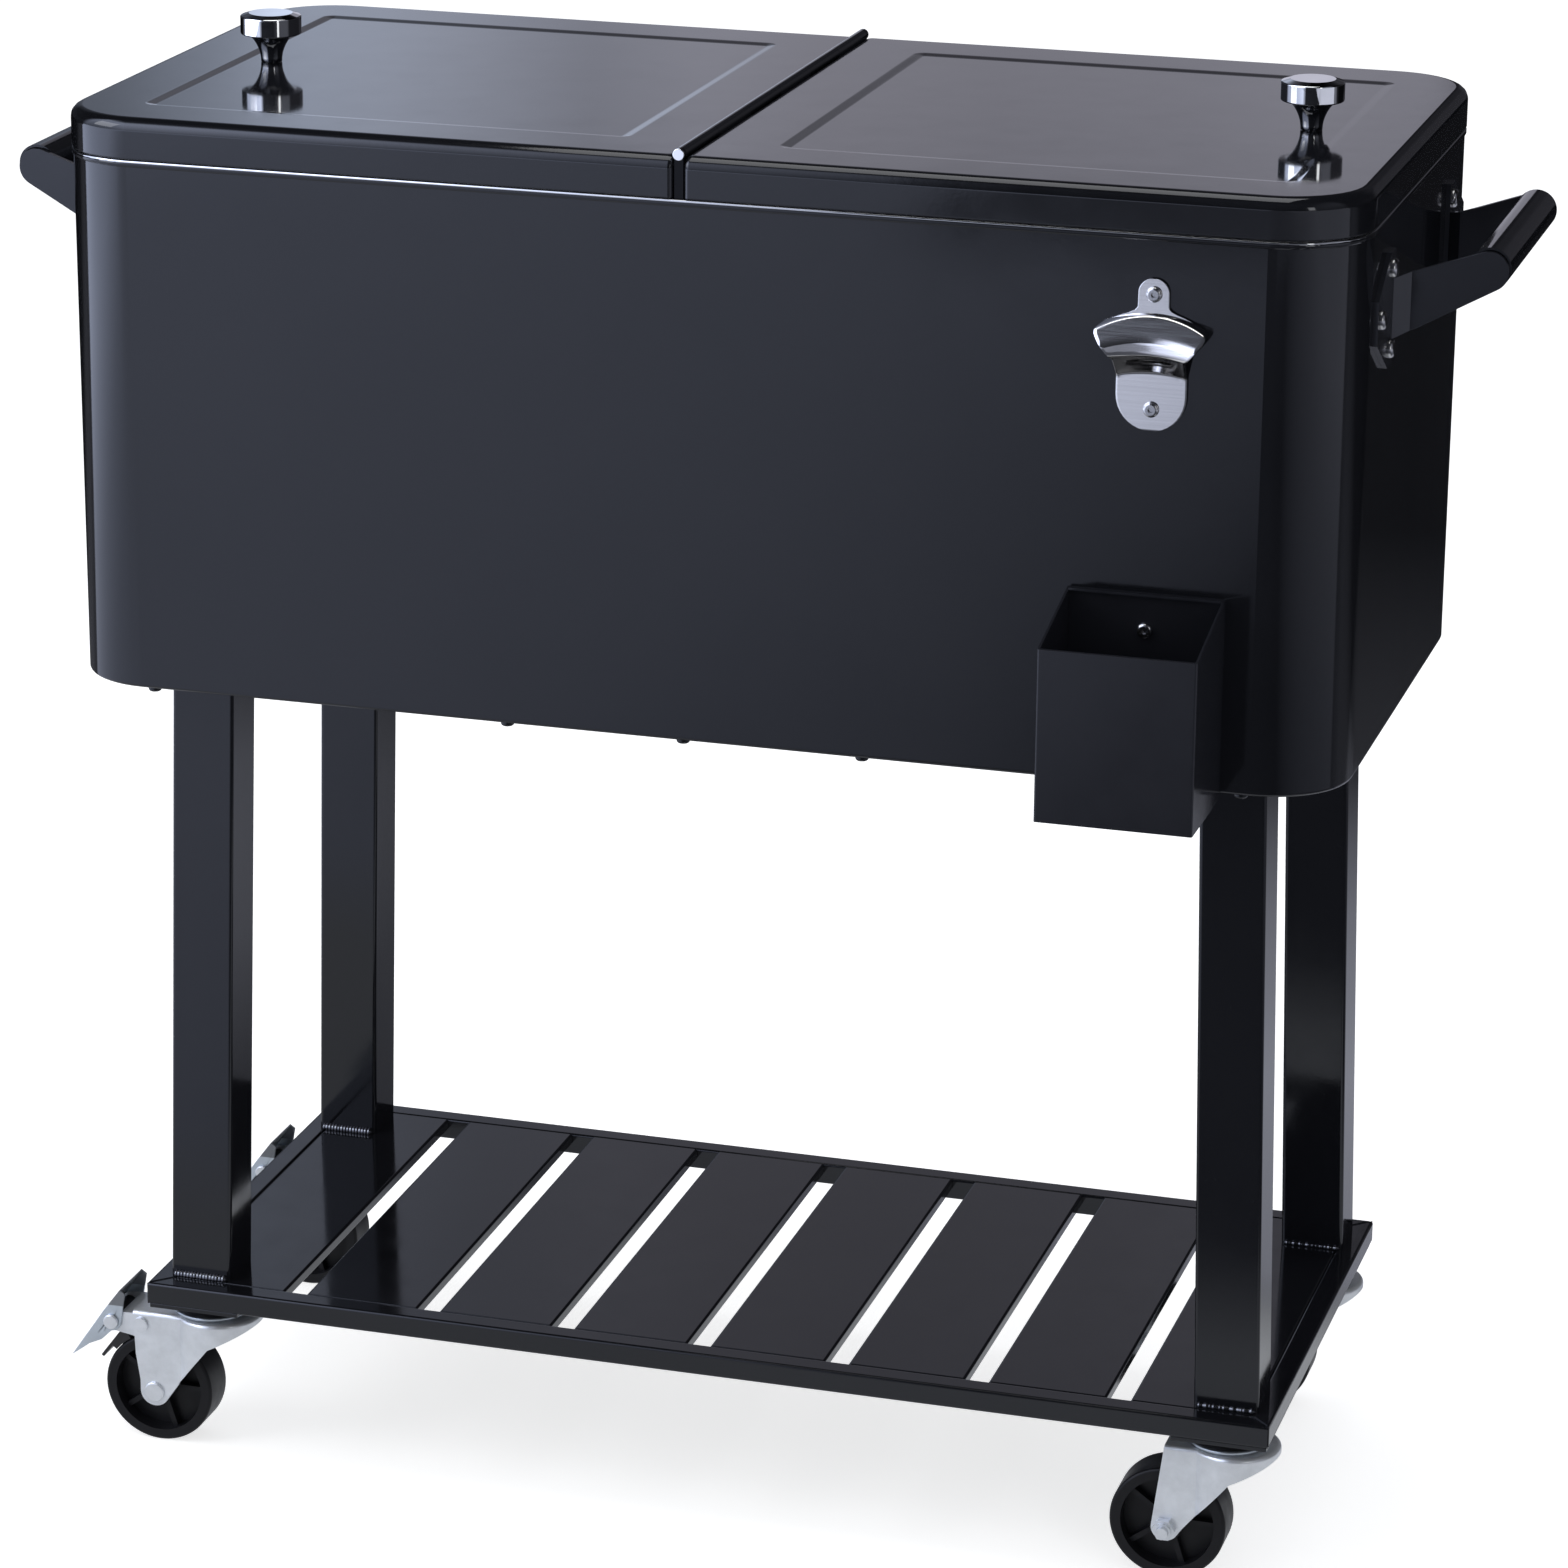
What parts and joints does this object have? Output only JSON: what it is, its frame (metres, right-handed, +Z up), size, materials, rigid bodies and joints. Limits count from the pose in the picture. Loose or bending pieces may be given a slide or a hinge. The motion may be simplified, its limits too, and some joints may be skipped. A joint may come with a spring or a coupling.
{
  "type": "rolling patio cooler",
  "caption": "Insulated steel cooler on tall legs and swivel casters, with a split lid hinged across the middle, end handles, a slatted shelf, a bottle opener and a cap catcher.",
  "frame": {"origin": "on the floor, at the middle of the whole cooler in plan", "axes": "+X along the case to its right end seen from the front, +Y to the back, +Z up; the opener and cap catcher are on the front, which faces -Y"},
  "size_m": [0.9654, 0.4856, 0.9474],
  "materials": {
    "black_paint": "gloss",
    "black_steel": "satin",
    "tub_plastic": "gloss",
    "foam": "matte",
    "gasket_rubber": "matte",
    "chrome": "polished",
    "brushed_steel": "satin",
    "zinc_steel": "satin",
    "wheel_plastic": "satin",
    "drain_plastic": "satin"
  },
  "bodies": {
    "cart": {"case_shell": "black_paint", "case_liner": "tub_plastic", "case_foam": "foam", "base_pan": "black_paint", "base_screws": "black_steel", "rim_gasket": "gasket_rubber", "centre_bar": "black_paint", "hinge_pin": "chrome", "handle_brackets_left": "black_paint", "handle_brackets_right": "black_paint", "handle_grip_left": "black_paint", "handle_grip_right": "black_paint", "handle_bolts": "black_paint", "bottle_opener": "brushed_steel", "cap_catcher": "black_paint", "front_screws": "zinc_steel", "leg_front_left": "black_paint", "leg_front_right": "black_paint", "leg_back_left": "black_paint", "leg_back_right": "black_paint", "leg_bolts": "zinc_steel", "shelf_rail_front": "black_paint", "shelf_rail_back": "black_paint", "shelf_rail_left": "black_paint", "shelf_rail_right": "black_paint", "shelf_slats": "black_paint", "corner_plates": "black_paint", "caster_stems": "zinc_steel", "swivel_bearings": "zinc_steel", "drain_tube": "drain_plastic"},
    "lid_left": {"lid_shell_left": "black_paint", "lid_pan_left": "tub_plastic", "lid_foam_left": "foam", "hinge_leaf_left": "black_paint", "lid_knob_left": "chrome"},
    "lid_right": {"lid_shell_right": "black_paint", "lid_pan_right": "tub_plastic", "lid_foam_right": "foam", "hinge_leaf_right": "black_paint", "lid_knob_right": "chrome"},
    "caster_front_left": {"caster_fork_front_left": "zinc_steel", "caster_axle_front_left": "zinc_steel", "brake_bracket_front": "zinc_steel"},
    "wheel_front_left": {"caster_wheel_front_left": "wheel_plastic"},
    "caster_back_left": {"caster_fork_back_left": "zinc_steel", "caster_axle_back_left": "zinc_steel", "brake_bracket_back": "zinc_steel"},
    "wheel_back_left": {"caster_wheel_back_left": "wheel_plastic"},
    "caster_front_right": {"caster_fork_front_right": "zinc_steel", "caster_axle_front_right": "zinc_steel"},
    "wheel_front_right": {"caster_wheel_front_right": "wheel_plastic"},
    "caster_back_right": {"caster_fork_back_right": "zinc_steel", "caster_axle_back_right": "zinc_steel"},
    "wheel_back_right": {"caster_wheel_back_right": "wheel_plastic"},
    "brake_front": {"brake_pedal_front": "black_steel", "brake_shoe_front": "black_steel"},
    "brake_back": {"brake_pedal_back": "black_steel", "brake_shoe_back": "black_steel"},
    "drain_cap": {"drain_cap": "drain_plastic"}
  },
  "joints": [
    {"name": "lid_left_hinge", "type": "hinge", "parent": "cart", "child": "lid_left", "pos_m": [-0.0015, 0.037, 0.9175], "axis": [0, 1, 0], "range_deg": [0, 82]},
    {"name": "lid_right_hinge", "type": "hinge", "parent": "cart", "child": "lid_right", "pos_m": [-0.0015, 0.037, 0.9175], "axis": [0, -1, 0], "range_deg": [0, 82]},
    {"name": "swivel_front_left", "type": "hinge", "parent": "cart", "child": "caster_front_left", "pos_m": [-0.3475, -0.101, 0.0955], "axis": [0, 0, 1], "continuous": true},
    {"name": "roll_front_left", "type": "hinge", "parent": "caster_front_left", "child": "wheel_front_left", "pos_m": [-0.3835, -0.101, 0.0381], "axis": [0, 1, 0], "continuous": true},
    {"name": "brake_front_release", "type": "hinge", "parent": "caster_front_left", "child": "brake_front", "pos_m": [-0.414, -0.101, 0.0851], "axis": [0, 1, 0], "range_deg": [0, 25]},
    {"name": "swivel_back_left", "type": "hinge", "parent": "cart", "child": "caster_back_left", "pos_m": [-0.3475, 0.175, 0.0955], "axis": [0, 0, 1], "continuous": true},
    {"name": "roll_back_left", "type": "hinge", "parent": "caster_back_left", "child": "wheel_back_left", "pos_m": [-0.3835, 0.175, 0.0381], "axis": [0, 1, 0], "continuous": true},
    {"name": "brake_back_release", "type": "hinge", "parent": "caster_back_left", "child": "brake_back", "pos_m": [-0.414, 0.175, 0.0851], "axis": [0, 1, 0], "range_deg": [0, 25]},
    {"name": "swivel_front_right", "type": "hinge", "parent": "cart", "child": "caster_front_right", "pos_m": [0.3475, -0.101, 0.0955], "axis": [0, 0, 1], "continuous": true},
    {"name": "roll_front_right", "type": "hinge", "parent": "caster_front_right", "child": "wheel_front_right", "pos_m": [0.3115, -0.101, 0.0381], "axis": [0, 1, 0], "continuous": true},
    {"name": "swivel_back_right", "type": "hinge", "parent": "cart", "child": "caster_back_right", "pos_m": [0.3475, 0.175, 0.0955], "axis": [0, 0, 1], "continuous": true},
    {"name": "roll_back_right", "type": "hinge", "parent": "caster_back_right", "child": "wheel_back_right", "pos_m": [0.3115, 0.175, 0.0381], "axis": [0, 1, 0], "continuous": true},
    {"name": "drain_cap_pull", "type": "slide", "parent": "cart", "child": "drain_cap", "axis": [-1, 0, 0], "range_m": [0, 0.025]}
  ]
}
